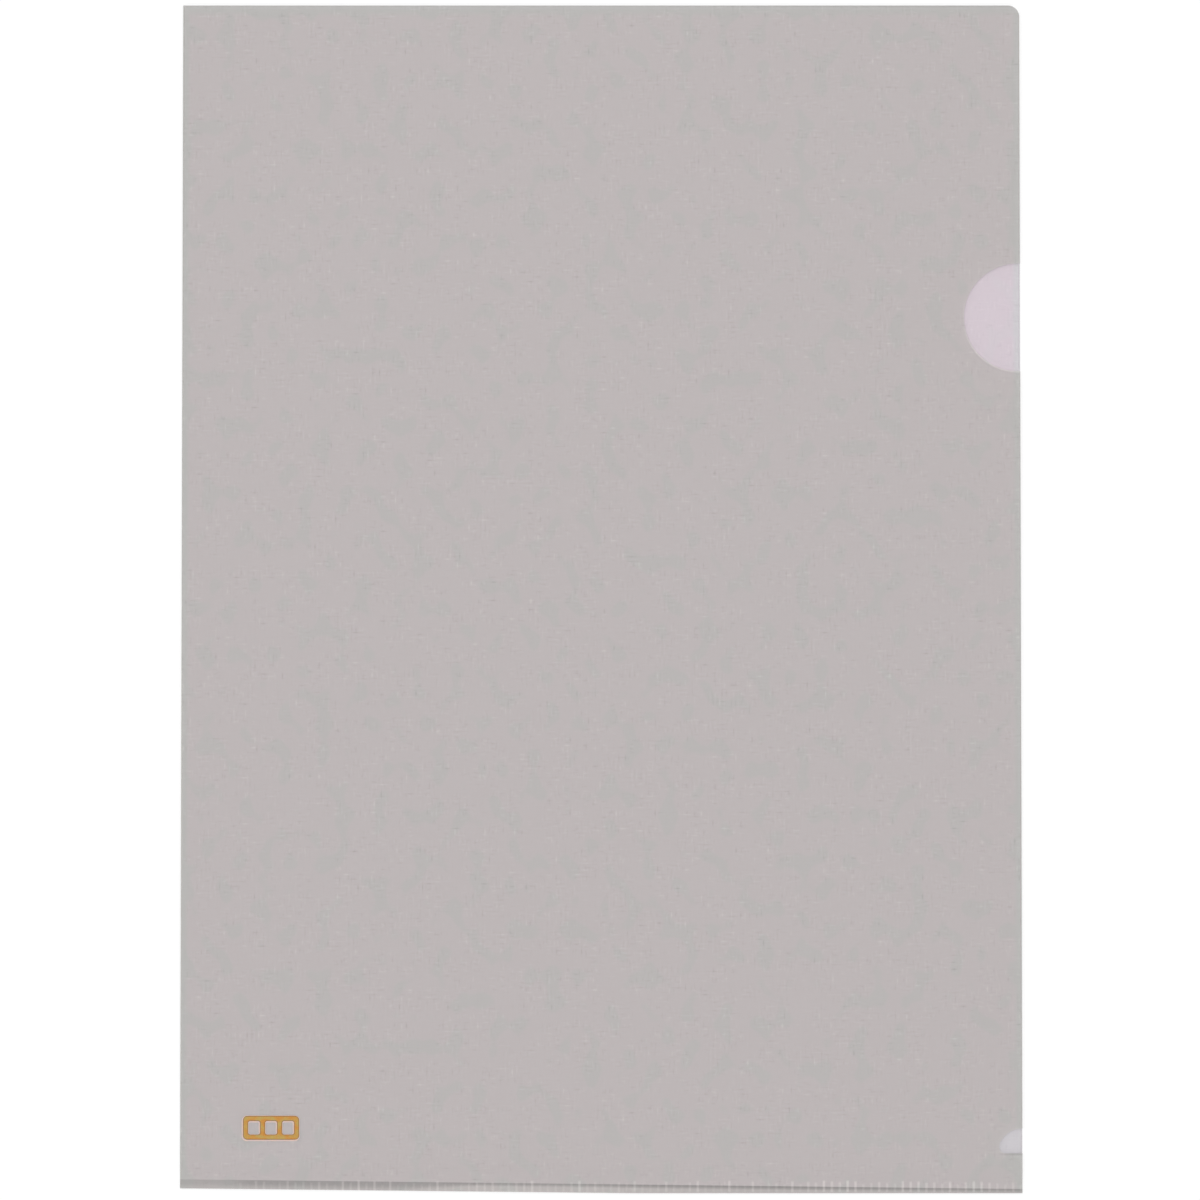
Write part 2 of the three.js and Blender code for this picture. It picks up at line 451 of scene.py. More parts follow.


# %% [markdown]
# ## Marks, painted light and painted shade on the film
#
# A few lines on the real folder are no separate pieces, so they are painted into the tone
# of the film. Most of them are painted light and shade. Along the cut edges and the fold,
# painted shade gives a darker line. Where the thumb notch's cut edge faces the light, a
# painted highlight has painted shade behind it, and painted shade darkens the small relief
# notch. Where the film steps down onto the weld, painted shade gives a dark line along the
# weld's upper edge. Each tooth of the hot bar left a short pale mark in the film itself.
# Each pattern below gives the tone of the film, which is 1 where it has no mark. The
# numbers in step are the millimetres at which a mark begins and is full, and the named
# strengths are how much darker or brighter the film is there.

# %% Marks of the cut edges, as painted light and shade
OPEN_SIDE_SHADE = 0.1
TOP_SHADE_LEFT, TOP_SHADE_RIGHT = 0.08, 0.14
FOLD_SHADE = 0.14
NOTCH_HIGHLIGHT, NOTCH_SHADE = 0.12, 0.05
GLOW_ABOVE, GLOW_BELOW = 0.04, 0.1
# Painted shade in the small relief notch, and how far it reaches into the back film.
RELIEF_NOTCH_SHADE = 0.035
RELIEF_SHADE_REACH = 5.6


def outline_shade_tone(x, y):
    """Painted shade: a darker line along the open side and the top, and along the upper end of the
    fold.
    """
    open_side = (RIGHT / MM - x).step(0.5, 0.1) * OPEN_SIDE_SHADE
    top_strength = x.step(0, 80) * (TOP_SHADE_RIGHT - TOP_SHADE_LEFT) + TOP_SHADE_LEFT
    top_side = (TOP / MM - y).step(0.7, 0.3) * top_strength
    fold_side = (x - LEFT / MM).step(0.6, 0.2) * y.step(-50, 150) * FOLD_SHADE
    return 1 - x.math("MAXIMUM", x.math("MAXIMUM", open_side, top_side), fold_side)


def beyond_rim(x, y, centre_x, centre_y, radius):
    """Millimetres from a notch's round rim: positive on the front film, negative inside."""
    across = x - centre_x / MM
    along = y - centre_y / MM
    return (across * across + along * along).math("SQRT") - radius / MM


def beyond_thumb_notch(x, y):
    return beyond_rim(x, y, THUMB_CENTRE.x, THUMB_CENTRE.y, THUMB_RADIUS)


def faces_up(y):
    """1 on the lower half of the thumb notch, 0 on its upper half."""
    return (y - THUMB_CENTRE.y / MM).step(-3, -10)


def thumb_notch_tone(x, y):
    """Painted highlight and painted shade: a bright and a dark line along the lower half of the thumb
    notch.
    """
    outside = beyond_thumb_notch(x, y)
    highlight_line = outside.step(-0.1, 0.05) * outside.step(0.4, 0.3)
    shade_line = outside.step(0.3, 0.45) * outside.step(1.2, 0.6)
    mark = (highlight_line * NOTCH_HIGHLIGHT - shade_line * NOTCH_SHADE) * faces_up(y)
    return outline_shade_tone(x, y) * (1 + mark)


def relief_notch_shade_and_grey(x, y):
    """1 in the small relief notch, where the back film gets painted shade and a greyer colour, 0
    further off.
    """
    return beyond_rim(x, y, RIGHT, RELIEF_FLOOR, RELIEF_RADIUS).step(RELIEF_SHADE_REACH, -0.4)


def back_film_tone(x, y):
    """The cut side's painted shade, painted shade in the relief notch, and the painted light that the
    notch's milky rim throws.
    """
    outside = beyond_thumb_notch(x, y)
    glow_strength = faces_up(y) * (GLOW_BELOW - GLOW_ABOVE) + GLOW_ABOVE
    glow = outside.step(-1.2, -0.1) * outside.step(0.6, 0.1) * glow_strength
    return outline_shade_tone(x, y) * (1 - relief_notch_shade_and_grey(x, y) * RELIEF_NOTCH_SHADE) * (1 + glow)


def back_film_coolness(x, y):
    """Greyer along the outline and in the relief notch."""
    return x.math("MAXIMUM", near_outline(x, y), relief_notch_shade_and_grey(x, y))


# %% [markdown]
# The marks of the weld follow its slanting upper edge. Below that edge, painted shade gives
# a dark line where the film steps down onto the weld. The index of the nearest tooth gives
# each mark a strength and a length of its own, through a noise that is constant for one
# whole number. The painted shade is wider on the left and strongest right of the middle,
# and the tooth marks are palest near the open side, where the bar pressed hardest. The
# foot of the front film also has the flat side of the relief notch, with painted shade
# under it.

# %% Marks and painted shade of the weld
LINE_WIDTH = 0.85
WIDER_ON_LEFT, WIDER_ON_RIGHT = 1.35, 0.1
LINE_SHADE = 0.4
FAINTER_AT_FOLD, DARKER_PAST_MIDDLE = 0.17, 0.06
PRESSED_DARK = 0.07
TOOTH_PALE = 0.14
PALER_FROM_FOLD, PALER_AT_OPENING = 0.16, 0.16
FAINTEST_TOOTH, STRENGTHS_DIFFER = 0.3, 0.8
LENGTHS_DIFFER = 1.1
TOOTH_OVER_LINE = 0.25
FLAT_LINE_SHADE = 0.24


def weld_tone(x, y):
    """Painted shade as a dark line below the weld's upper edge, where the film steps down, and a pale
    mark for each tooth.
    """
    slope = (WELD_AT_OPENING - WELD_AT_FOLD) / (RIGHT - LEFT)
    line = (x - LEFT / MM) * slope + (BOTTOM + WELD_AT_FOLD) / MM
    below = line - y
    spread = LINE_WIDTH + x.step(-30, -55) * WIDER_ON_LEFT + x.step(-5, 10) * WIDER_ON_RIGHT
    past_middle = x.step(-5, 15) * x.step(95, 50)
    strength = LINE_SHADE - x.step(-90, -100) * FAINTER_AT_FOLD + past_middle * DARKER_PAST_MIDDLE
    shade = below.step(-0.1, 0.1) * (below / spread).step(1.3, 0.25) * strength
    pressed = below.step(0, 0.2) * x.step(-10, 40) * PRESSED_DARK
    place = (x - FIRST_TOOTH / MM) / (TOOTH_PITCH / MM)
    index = place.math("ROUND")
    across = (place - index).math("ABSOLUTE").step(0.22, 0.08)
    chance = x.node("ShaderNodeTexWhiteNoise", {"noise_dimensions": "1D"}, {"W": index})
    tip = y + (1 - chance) * LENGTHS_DIFFER
    low, high = TOOTH_LOW / MM, TOOTH_HIGH / MM
    along = y.step(low - 0.4, low + 0.1) * tip.step(high + 0.7, high)
    in_row = x.step((FIRST_TOOTH - TOOTH_PITCH) / MM, FIRST_TOOTH / MM)
    tooth = across * along * in_row * (FAINTEST_TOOTH + chance * chance * STRENGTHS_DIFFER)
    paleness = TOOTH_PALE + x.step(-85, -68) * PALER_FROM_FOLD + x.step(30, 105) * PALER_AT_OPENING
    line_tone = 1 - shade * (1 - tooth * TOOTH_OVER_LINE)
    return (1 + tooth * paleness) * line_tone * (1 - pressed)


def foot_tone(x, y):
    """The weld's marks and painted shade, and painted shade as a dark line under the flat of the relief
    notch.
    """
    below_flat = RELIEF_FLOOR / MM - y
    near_notch = x.step((RIGHT - RELIEF_RADIUS) / MM, (RIGHT - 0.7 * RELIEF_RADIUS) / MM)
    flat_line_shade = below_flat.step(-0.15, 0.1) * below_flat.step(0.75, 0.3) * near_notch
    return weld_tone(x, y) * (1 - flat_line_shade * FLAT_LINE_SHADE)


# %% [markdown]
# A Principled shader brings the patterns together: the milk colour times the tone of the
# marks and of the painted light and shade, the grain in tone and in a very low bump, and
# clouds a few millimetres wide, where the film is a little greener and rougher. The
# finishes differ only in their colours and in the marks and painted light and shade that
# their piece has.

# %% Film materials
CLOUD_WIDTH, CLOUD_HEIGHT = 5.0, 6.0
CLOUDS_FROM, CLOUDS_FULL = 0.57, 0.73
FRONT_CLOUDS, BACK_CLOUDS = 0.8, 0.25
GRAIN_TONE = 0.07
GRAIN_HEIGHT = 0.02 * MM
GRAIN_BUMP = 0.35
FILM_ROUGHNESS, ROUGHER_IN_CLOUDS = 0.44, 0.06
POLYPROPYLENE_IOR = 1.49


def film_material(name, warm, cool, alpha, marks_and_painted_light, coolness, cloudy):
    """The milky film, with its grain, its clouds and its marks."""
    material, tree = new_material(name)
    x, y = sheet_millimetres(tree)
    grain = pressed_grain(x, y)
    clouds = stretched_noise(x, y, CLOUD_WIDTH, CLOUD_HEIGHT).step(CLOUDS_FROM, CLOUDS_FULL)
    milk = mix_colours(clouds * cloudy + coolness(x, y), warm, cool)
    tone = (1 + grain * GRAIN_TONE) * marks_and_painted_light(x, y)
    relief = {"Strength": GRAIN_BUMP, "Distance": GRAIN_HEIGHT, "Height": grain}
    sockets = {
        "Base Color": scale_colour(milk, tone),
        "Roughness": FILM_ROUGHNESS + clouds * ROUGHER_IN_CLOUDS,
        "IOR": POLYPROPYLENE_IOR,
        "Alpha": alpha,
        "Normal": grain.node("ShaderNodeBump", {}, relief),
    }
    shader = grain.node("ShaderNodeBsdfPrincipled", {}, sockets)
    shader.node("ShaderNodeOutputMaterial", {}, {0: shader})
    return material


def clear_material(name):
    """For walls inside the film, which don't exist on the real sheet."""
    material, tree = new_material(name)
    shader = add_node(tree, "ShaderNodeBsdfPrincipled", {}, {"Alpha": 0.0, "Roughness": 0.4})
    shader.node("ShaderNodeOutputMaterial", {}, {0: shader})
    return material


front_look = (FRONT_WARM, FRONT_COOL, FILM_ALPHA)
back_look = (BACK_WARM, BACK_COOL, FILM_ALPHA)
weld_look = (WELD_WARM, WELD_COOL, WELD_ALPHA)
front_film = film_material("front_film", *front_look, outline_shade_tone, near_outline, FRONT_CLOUDS)
corner_film = film_material("corner_film", *front_look, thumb_notch_tone, near_outline, FRONT_CLOUDS)
foot_film = film_material("foot_film", *front_look, foot_tone, near_outline, FRONT_CLOUDS)
back_film = film_material("back_film", *back_look, back_film_tone, back_film_coolness, BACK_CLOUDS)
pressed_film = film_material("pressed_film", *weld_look, weld_tone, near_outline, FRONT_CLOUDS)
inner_wall = clear_material("inner_wall")

for material in (front_film, corner_film, foot_film, back_film, pressed_film, inner_wall):
    print(material.name, "has", len(material.node_tree.nodes), "nodes")

# %% [markdown]
# ## The back film
#
# The back layer is the plain half of the sheet: a rectangle with one rounded corner. It is
# drawn with the cutting line, thickened to the film, and its rims on the open side and the
# top are rounded. Its other two walls run on, into the fold and into the weld.

# %% Back film
CORNER_STEPS = 12
NOTCH_STEPS = 56
BLUNT_STEPS, RELIEF_STEPS = 10, 20


def is_at_fold_or_weld(face):
    centre = face.calc_center_median()
    return centre.x < SHEET_LEFT + 1e-6 or (face.normal.y < -0.9 and centre.y < BOTTOM + WELD_AT_FOLD)


sheet = bmesh.new()
line = CuttingLine(sheet, SHEET_LEFT, weld_line(SHEET_LEFT))
line.line_to(RIGHT, weld_line(RIGHT))
line.line_to(RIGHT, TOP - CORNER_RADIUS)
line.arc(RIGHT - CORNER_RADIUS, TOP - CORNER_RADIUS, 90, CORNER_STEPS)
line.line_to(SHEET_LEFT, TOP)
line.close()
thicken(sheet, 0, FILM)
round_cut_edges(sheet, is_at_fold_or_weld, UP)
score_tiles(sheet)
back_layer = finish_piece("back_layer", sheet, back_film, inner_wall)
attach(back_layer, "folder_base")
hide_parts("back_sheet")

# %% [markdown]
# ## The front film, in one piece
#
# The front layer is cut in one go, with both notches. The relief notch is a quarter disc
# with a flat lower side and one blunt corner, so it takes two arcs that meet on a line
# through both centres. Near the weld the film climbs in a soft curve to its own level.
# Rows of extra vertices carry that curve, and three columns for each tooth carry its mark.


# %% Front film outline
def draw_relief_notch(line):
    inset = math.sqrt((RELIEF_RADIUS - RELIEF_BLUNT) ** 2 - RELIEF_BLUNT**2)
    lean = math.degrees(math.atan2(RELIEF_BLUNT, inset))
    corner_x = RIGHT - inset
    line.line_to(RIGHT, RELIEF_FLOOR)
    line.line_to(corner_x, RELIEF_FLOOR)
    line.arc(corner_x, RELIEF_FLOOR + RELIEF_BLUNT, -90 - lean, BLUNT_STEPS)
    line.arc(RIGHT, RELIEF_FLOOR, lean - 90, RELIEF_STEPS)


def draw_thumb_notch(line):
    overrun = math.asin(THUMB_INSET / THUMB_RADIUS)
    line.line_to(RIGHT, THUMB_CENTRE.y - THUMB_RADIUS * math.cos(overrun))
    line.arc(THUMB_CENTRE.x, THUMB_CENTRE.y, -180 - 2 * math.degrees(overrun), NOTCH_STEPS)


front = bmesh.new()
line = CuttingLine(front, SHEET_LEFT, weld_line(SHEET_LEFT))
line.line_to(RIGHT, weld_line(RIGHT))
draw_relief_notch(line)
draw_thumb_notch(line)
line.line_to(RIGHT, TOP - CORNER_RADIUS)
line.arc(RIGHT - CORNER_RADIUS, TOP - CORNER_RADIUS, 90, CORNER_STEPS)
line.line_to(SHEET_LEFT, TOP)
line.close()
thicken(front, FRONT_LEVEL, CLOSED)
round_cut_edges(front, is_at_fold_or_weld, DOWN)
score_tiles(front)
print("front film outline:", len(front.verts), "vertices")

# %% [markdown]
# ## Dividing the front film
#
# The film is one surface to the eye, but in the frame its free corner turns about eight
# hinges. So it is divided halfway between the hinges, where a bend of one hinge has ended
# and that of the next hasn't begun. The foot, below the relief notch, stays with the weld.
# A copy of the whole film is cut down for each piece, so that neighbours share their edge.

# %% Bend lines from the frame
joints = frame["joints"]
hinges = [Vector(joint["pos_m"]) for joint in joints]
along_line = Vector(joints[0]["axis"]).normalized()
towards_corner = Vector((0, 0, 1)).cross(along_line)
SPACING = (hinges[1] - hinges[0]).dot(towards_corner)
FOOT_TOP = RELIEF_FLOOR + 0.1 * MM
BEND_ROWS = 8

print(f"{len(hinges)} bend lines, {SPACING / MM:.2f} mm apart")


def place_between(number):
    """Point halfway between two bend lines; number 0 is before the first line."""
    return hinges[0] + (number - 0.5) * SPACING * towards_corner


# %% Held part and foot
foot = front.copy()
cut_away(foot, (0, FOOT_TOP, 0), (0, 1, 0))

held = front.copy()
cut_away(held, (0, FOOT_TOP, 0), (0, -1, 0))
cut_away(held, place_between(0), towards_corner)
front_layer_held = finish_piece("front_layer_held", held, front_film, inner_wall)
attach(front_layer_held, "folder_base")
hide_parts("front_sheet")

# %% [markdown]
# ## The bends
#
# A bend needs vertices to turn, so every strip is scored with lines of them.

# %% Bending strips
for number, joint in enumerate(joints):
    strip = front.copy()
    start, end = place_between(number), place_between(number + 1)
    cut_away(strip, start, -towards_corner)
    cut_away(strip, end, towards_corner)
    if number == 0:
        cut_away(strip, (0, FOOT_TOP, 0), (0, -1, 0))
    for row in range(1, BEND_ROWS):
        score(strip, start.lerp(end, row / BEND_ROWS), towards_corner)
    piece = finish_piece(f"front_layer_bend_{number + 1}", strip, front_film, inner_wall)
    stands_for = [f"front_bend_strip_{side}" for side in (number, number + 1) if 0 < side < len(joints)]
    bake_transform(piece)
    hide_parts(*stands_for)

# %% Free corner
corner = front.copy()
cut_away(corner, place_between(len(hinges)), -towards_corner)
front_layer_corner = finish_piece("front_layer_corner", corner, corner_film, inner_wall)
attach(front_layer_corner, "free_corner")
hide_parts("front_free_corner")
front.free()

# %% [markdown]
# ## The foot and the weld
#
# Pressing is modelled as it happens: the flat film gets rows and columns of vertices, and
# a function moves each one to where the hot bar left it. The film is squeezed thin where
# it comes near the weld, because its underside can't go below the back film.


# %% Pressing with the toothed bar
def score_for_teeth(bm, top):
    """Rows of vertices up to a height, and three columns for each tooth."""
    row_step = 0.25 * MM
    y = BOTTOM + row_step
    while y < top:
        score(bm, (0, y, 0), (0, 1, 0))
        y += row_step if y < TOOTH_HIGH else 2 * row_step
    for tooth in range(TOOTH_COUNT):
        for side in (-1, 0, 1):
            x = FIRST_TOOTH + tooth * TOOTH_PITCH + side * TOOTH_WIDTH / 2
            score(bm, (x, 0, 0), (1, 0, 0))


def press_foot(bm):
    """Lowers the foot to the weld."""
    middle = (FRONT_LEVEL + CLOSED) / 2
    for vert in bm.verts:
        x, y, z = vert.co
        if y >= CLIMB_END:
            continue
        upper = front_film_top(x, y)
        lower = max(FILM, upper - FILM)
        share = (z - FRONT_LEVEL) / FILM
        vert.co.z = lower + (upper - lower) * share
        if z > middle:
            vert.co.z -= min(tooth_mark(x, y), 0.5 * (upper - lower))


JUST_PAST_CLIMB = CLIMB_END + 0.05 * MM
score_for_teeth(foot, JUST_PAST_CLIMB)
press_foot(foot)
front_layer_foot = finish_piece("front_layer_foot", foot, foot_film, inner_wall)
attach(front_layer_foot, "folder_base")
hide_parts("weld_shoulder")


# %% Weld strip
def is_weld_edge(face):
    return face.normal.y > 0.5


strip = bmesh.new()
line = CuttingLine(strip, LEFT, BOTTOM + TRIM_RISE)
line.line_to(TRIM_RISE_END, BOTTOM)
line.line_to(RIGHT, BOTTOM)
line.line_to(RIGHT, weld_line(RIGHT))
line.line_to(LEFT, weld_line(LEFT))
line.close()
thicken(strip, 0, WELD_THICKNESS)
round_cut_edges(strip, is_weld_edge, None)
score_for_teeth(strip, weld_line(LEFT))
for vert in strip.verts:
    if vert.co.z > 0.5 * WELD_THICKNESS:
        vert.co.z -= tooth_mark(vert.co.x, vert.co.y)
weld_strip = finish_piece("weld_strip", strip, pressed_film, inner_wall)
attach(weld_strip, "folder_base")
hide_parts("bottom_weld")

# %% [markdown]
# ## The fold
#
# The fold is a half tube of film. A cylinder would need its halves and its inside cut
# away. Spinning a thin upright face by half a turn makes the tube and its thickness at
# once. Its lower end is pinched shut, down to the height of the weld.


# %% Fold
TURN_STEPS = 16
PINCH_ROWS = 10
fold = bmesh.new()
low_y = weld_line(SHEET_LEFT)
corners = [
    (SHEET_LEFT, low_y, 0),
    (SHEET_LEFT, TOP, 0),
    (SHEET_LEFT, TOP, FILM),
    (SHEET_LEFT, low_y, FILM),
]
fold.faces.new([fold.verts.new(corner) for corner in corners])
bmesh.ops.spin(
    fold,
    geom=everything(fold),
    cent=(SHEET_LEFT, 0, FOLD_RADIUS),
    axis=(0, 1, 0),
    angle=math.pi,
    steps=TURN_STEPS,
    use_duplicate=False,
)
bmesh.ops.recalc_face_normals(fold, faces=fold.faces[:])
for row in range(1, PINCH_ROWS + 1):
    score(fold, (0, low_y + (CLIMB_END - low_y) * row / PINCH_ROWS, 0), (0, 1, 0))
for row in range(1, math.ceil((TOP - CLIMB_END) / TILE)):
    score(fold, (0, CLIMB_END + row * TILE, 0), (0, 1, 0))
for vert in fold.verts:
    vert.co.z *= front_film_top(SHEET_LEFT, vert.co.y) / CLOSED
for face in fold.faces:
    outwards = face.calc_center_median() - Vector((SHEET_LEFT, 0, FOLD_RADIUS))
    outwards.y = 0
    is_inside = face.normal.dot(outwards) < 0 and abs(face.normal.y) < 0.9
    if is_inside or face.normal.x > 0.9 or face.normal.y < -0.9:
        face.material_index = CLEAR
fold_edge = finish_piece("fold_edge", fold, front_film, inner_wall)
print("fold reaches x", round(min(v.co.x for v in fold_edge.data.vertices) / MM, 3), "mm")
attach(fold_edge, "folder_base")
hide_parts("spine_fold")

# %% [markdown]
# ## The foil mark
#
# A mark like this is stamped with a heated die that presses gold foil onto the film. The
# frame has a plain bar with three windows in its place. The bar is cut into a lattice, the
# window fields are taken out, and the upright corners are bevelled round. The die also
# pushes up a low rim of film around the foil, made with the same function, a little wider.

# %% Foil outline
FOIL_STROKE = 1.35 * MM
FOIL_CORNER = 1.1 * MM
WINDOW_COUNT = 3
FOIL_SEGMENTS = 6


def windowed_bar(grow, low, high):
    """Bar with windows, grown on every side by some width, between two levels."""
    bm = bmesh.new()
    bmesh.ops.create_grid(bm, x_segments=1, y_segments=1, size=0.5)
    width = foil_high.x - foil_low.x
    height = foil_high.y - foil_low.y
    bmesh.ops.scale(bm, vec=(width + 2 * grow, height + 2 * grow, 1), verts=bm.verts[:])
    centre = (foil_low + foil_high) / 2
    bmesh.ops.translate(bm, vec=(centre.x, centre.y, 0), verts=bm.verts[:])
    window_width = (width - (WINDOW_COUNT + 1) * FOIL_STROKE) / WINDOW_COUNT
    window_low = foil_low.y + FOIL_STROKE + grow
    window_high = foil_high.y - FOIL_STROKE - grow
    windows = []
    for place in range(WINDOW_COUNT):
        start = foil_low.x + FOIL_STROKE + place * (window_width + FOIL_STROKE)
        windows.append((start + grow, start + window_width - grow))
    for start, end in windows:
        score(bm, (start, 0, 0), (1, 0, 0))
        score(bm, (end, 0, 0), (1, 0, 0))
    score(bm, (0, window_low, 0), (0, 1, 0))
    score(bm, (0, window_high, 0), (0, 1, 0))
    openings = []
    for face in bm.faces:
        x, y, _ = face.calc_center_median()
        if window_low < y < window_high and any(start < x < end for start, end in windows):
            openings.append(face)
    bmesh.ops.delete(bm, geom=openings, context="FACES")
    thicken(bm, low, high)
    upright = [edge for edge in bm.edges if abs(edge.verts[0].co.z - edge.verts[1].co.z) > 1e-6]
    turns = [edge for edge in upright if edge.calc_face_angle() > 1]
    outside = [edge for edge in turns if edge.calc_face_angle_signed() > 0]
    inside = [edge for edge in turns if edge.calc_face_angle_signed() < 0]
    bevel(bm, outside, FOIL_CORNER + grow, FOIL_SEGMENTS)
    bevel(bm, inside, FOIL_CORNER / 2 - grow, FOIL_SEGMENTS)
    return bm


# %% [markdown]
# ## Gold foil
#
# Stamped foil mirrors the room in small soft patches, because it takes on the grain of the
# film. Its gold turns from yellow to orange in places. A narrow darker brown border runs
# along its edges. Slow noise mixes the two golds, and fine noise varies their tone and
# dents them. The border gets its own faces, so it needs no pattern to find the edge.

# %% Foil materials
PATCH_WIDTH, PATCH_HEIGHT = 1.8, 1.4
CRINKLE_SIZE = 0.3
CRINKLE_HEIGHT = 0.03 * MM
CRINKLE_BUMP = 0.4
DARKEST_TONE, TONE_RANGE = 0.8, 0.36
FOIL_ROUGHNESS, ROUGHER_IN_PATCHES = 0.28, 0.1
FOIL_METALLIC, BORDER_METALLIC = 0.85, 0.5
ORANGE_GOLD, YELLOW_GOLD = colour(187, 132, 65), colour(175, 148, 84)
RED_BROWN, OLIVE_BROWN = colour(148, 106, 64), colour(134, 108, 72)
PEACH_HIGHLIGHT, ROSE_HIGHLIGHT = colour(236, 208, 192), colour(224, 202, 200)
RIM_GRAIN_WIDTH, RIM_GRAIN_HEIGHT = 0.6, 0.5
RIM_ALPHA = 0.8


def foil_material(name, first, second, metallic):
    material, tree = new_material(name)
    x, y = sheet_millimetres(tree)
    patches = stretched_noise(x, y, PATCH_WIDTH, PATCH_HEIGHT, detail=1.0).step(0.3, 0.7)
    crinkles = stretched_noise(x, y, CRINKLE_SIZE, CRINKLE_SIZE, detail=2.0)
    gold = mix_colours(patches, first, second)
    relief = {"Strength": CRINKLE_BUMP, "Distance": CRINKLE_HEIGHT, "Height": crinkles}
    sockets = {
        "Base Color": scale_colour(gold, DARKEST_TONE + crinkles * TONE_RANGE),
        "Metallic": metallic,
        "Roughness": FOIL_ROUGHNESS + patches * ROUGHER_IN_PATCHES,
        "Normal": x.node("ShaderNodeBump", {}, relief),
    }
    shader = x.node("ShaderNodeBsdfPrincipled", {}, sockets)
    shader.node("ShaderNodeOutputMaterial", {}, {0: shader})
    return material


def highlight_rim_material():
    """Painted highlight: whitish film on the low rim around the foil."""
    material, tree = new_material("painted_highlight_rim_film")
    x, y = sheet_millimetres(tree)
    grain = stretched_noise(x, y, RIM_GRAIN_WIDTH, RIM_GRAIN_HEIGHT, detail=1.0)
    whitish = mix_colours(grain.step(0.3, 0.7), PEACH_HIGHLIGHT, ROSE_HIGHLIGHT)
    sockets = {"Base Color": whitish, "Roughness": 0.4 + grain * 0.1, "Alpha": RIM_ALPHA}
    shader = x.node("ShaderNodeBsdfPrincipled", {}, sockets)
    shader.node("ShaderNodeOutputMaterial", {}, {0: shader})
    return material


gold_foil = foil_material("gold_foil", ORANGE_GOLD, YELLOW_GOLD, FOIL_METALLIC)
foil_border = foil_material("foil_border", RED_BROWN, OLIVE_BROWN, BORDER_METALLIC)

# %% Foil mark
BORDER_WIDTH = 0.2 * MM
FOIL_BEVEL = 0.012 * MM
foil = windowed_bar(0, foil_low.z, foil_high.z)
top_faces = [face for face in foil.faces if face.normal.z > 0.9]
border = bmesh.ops.inset_region(foil, faces=top_faces, thickness=BORDER_WIDTH, use_even_offset=True)
for face in border["faces"]:
    face.material_index = 1
top_rims = [
    edge
    for edge in foil.edges
    if all(vert.co.z > foil_high.z - 1e-7 for vert in edge.verts) and edge.calc_face_angle() > 1
]
bevel(foil, top_rims, FOIL_BEVEL, BEVEL_SEGMENTS)
gold_mark = finish_piece("gold_mark", foil, gold_foil, foil_border)
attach(gold_mark, "folder_base")
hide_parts("foil_mark")

# %% [markdown]
# The rim's whitish colour is a painted highlight on the low film bead around the foil.
# The rim is shifted down and to the left, so that the painted highlight shows more on the
# left and below.

# %% Stamped rim with a painted highlight
RIM_WIDTH = 0.24 * MM
RIM_HEIGHT = 0.008 * MM
RIM_SHIFT = Vector((-0.1 * MM, -0.14 * MM, 0))
rim = windowed_bar(RIM_WIDTH, CLOSED, CLOSED + RIM_HEIGHT)
bmesh.ops.translate(rim, vec=RIM_SHIFT, verts=rim.verts[:])
painted_highlight_rim = finish_piece("painted_highlight_rim", rim, highlight_rim_material())
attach(painted_highlight_rim, "folder_base")

# %% [markdown]
# ## Floor, light and camera
#
# The photograph was taken from straight above on white. The floor is a pale diffuse plane
# that also glows a little for the camera, so that it comes out white and still takes the
# folder's soft shadow. The world lights from everywhere, and one broad lamp from the top
# of the picture brightens the edges that face it. World and lamp together light a colour
# to about the level at which it is written.

# %% Floor and world
FLOOR_SIZE = 12.0
FLOOR_TILES = 48
FLOOR_GAP = 0.1 * MM
FLOOR_GREY = (0.8, 0.8, 0.8, 1)
SEEN_FLOOR_GREY = (0.55, 0.55, 0.55, 1)
FLOOR_GLOW = 0.47
WORLD_LIGHT = 0.8
WHITE = (1, 1, 1, 1)


def seen_directly(tree):
    """1 for what the camera sees, also in a reflection or through glass."""
    rays = add_node(tree, "ShaderNodeLightPath", {}, {}, output="Is Camera Ray")
    glossy = Wire(tree, rays.socket.node.outputs["Is Glossy Ray"])
    through = Wire(tree, rays.socket.node.outputs["Is Transmission Ray"])
    return rays.math("MAXIMUM", rays.math("MAXIMUM", rays, glossy), through)


floor_mesh = bmesh.new()
bmesh.ops.create_grid(
    floor_mesh, x_segments=FLOOR_TILES, y_segments=FLOOR_TILES, size=FLOOR_SIZE / 2
)
bmesh.ops.translate(floor_mesh, vec=(0, 0, -FLOOR_GAP), verts=floor_mesh.verts[:])
floor_data = bpy.data.meshes.new("floor")
floor_mesh.to_mesh(floor_data)
floor_mesh.free()
floor = bpy.data.objects.new("floor", floor_data)
bpy.context.scene.collection.objects.link(floor)

paper, tree = new_material("floor_paper")
seen = seen_directly(tree)
matt = add_node(tree, "ShaderNodeBsdfDiffuse", {}, {"Color": FLOOR_GREY})
matt_seen = add_node(tree, "ShaderNodeBsdfDiffuse", {}, {"Color": SEEN_FLOOR_GREY})
glow = add_node(tree, "ShaderNodeEmission", {}, {"Color": WHITE, "Strength": FLOOR_GLOW})
pale = add_node(tree, "ShaderNodeAddShader", {}, {0: matt_seen, 1: glow})
surface = add_node(tree, "ShaderNodeMixShader", {}, {0: seen, 1: matt, 2: pale})
add_node(tree, "ShaderNodeOutputMaterial", {}, {0: surface})
floor.data.materials.append(paper)

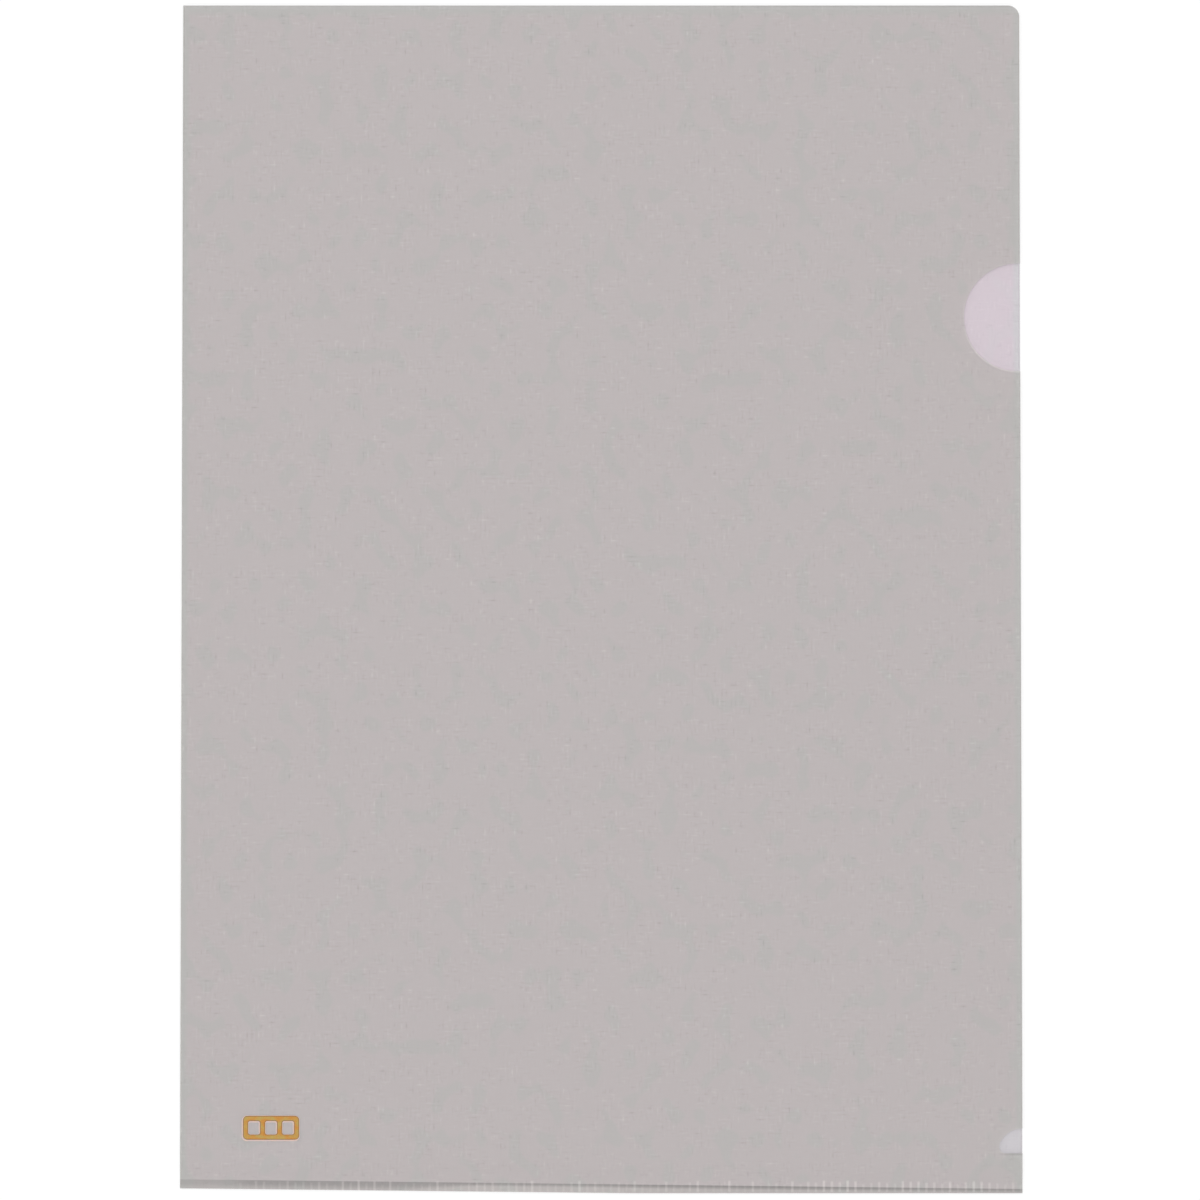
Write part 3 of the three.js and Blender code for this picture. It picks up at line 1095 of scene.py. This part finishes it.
world = bpy.data.worlds.new("studio")
bpy.context.scene.world = world
world.use_nodes = True
world.node_tree.nodes.clear()
seen = seen_directly(world.node_tree)
strength = WORLD_LIGHT + seen * (1 - WORLD_LIGHT)
white_sky = {"Color": WHITE, "Strength": strength}
sky = add_node(world.node_tree, "ShaderNodeBackground", {}, white_sky)
add_node(world.node_tree, "ShaderNodeOutputWorld", {}, {0: sky})

# %% Lamp
LAMP_STRENGTH = 0.73
LAMP_BREADTH = math.radians(50)
TOWARDS_LAMP = Vector((-0.15, 0.4, 0.9))

lamp_data = bpy.data.lights.new("window_light", "SUN")
lamp_data.energy = LAMP_STRENGTH
lamp_data.angle = LAMP_BREADTH
lamp = bpy.data.objects.new("window_light", lamp_data)
lamp.rotation_euler = TOWARDS_LAMP.to_track_quat("Z", "Y").to_euler()
bpy.context.scene.collection.objects.link(lamp)

# %% [markdown]
# ## Camera
#
# A long lens from nearly straight above keeps the folder's sides parallel, as in the
# photograph. The picture there is 1200 pixels wide and the folder 839.5, which gives the
# width of the view. FOLDER_CENTRE is the pixel on which the folder's middle falls. The
# folder's lower end is a touch wider than its upper end, so the camera stands slightly
# below the middle and looks up the sheet.

# %% Camera
PHOTO_SIDE = 1200
FOLDER_PIXELS = 839.5
FOLDER_CENTRE = (601.2, 597)
CAMERA_LENS = 100
CAMERA_TILT = math.radians(1.3)

pixel = (RIGHT - LEFT) / FOLDER_PIXELS
camera_data = bpy.data.cameras.new("camera")
camera_data.lens = CAMERA_LENS
camera = bpy.data.objects.new("camera", camera_data)
distance = PHOTO_SIDE * pixel * CAMERA_LENS / camera_data.sensor_width
target = Vector(
    ((PHOTO_SIDE / 2 - FOLDER_CENTRE[0]) * pixel, (FOLDER_CENTRE[1] - PHOTO_SIDE / 2) * pixel, CLOSED)
)
camera.location = target + distance * Vector((0, -math.sin(CAMERA_TILT), math.cos(CAMERA_TILT)))
camera.rotation_euler = (CAMERA_TILT, 0, 0)
camera_data.clip_start = 0.01
camera_data.clip_end = 50
bpy.context.scene.collection.objects.link(camera)
bpy.context.scene.camera = camera
bpy.context.scene.view_settings.view_transform = "Standard"
print(f"one pixel of the photograph is {pixel / MM:.4f} mm; camera {distance:.3f} m away")
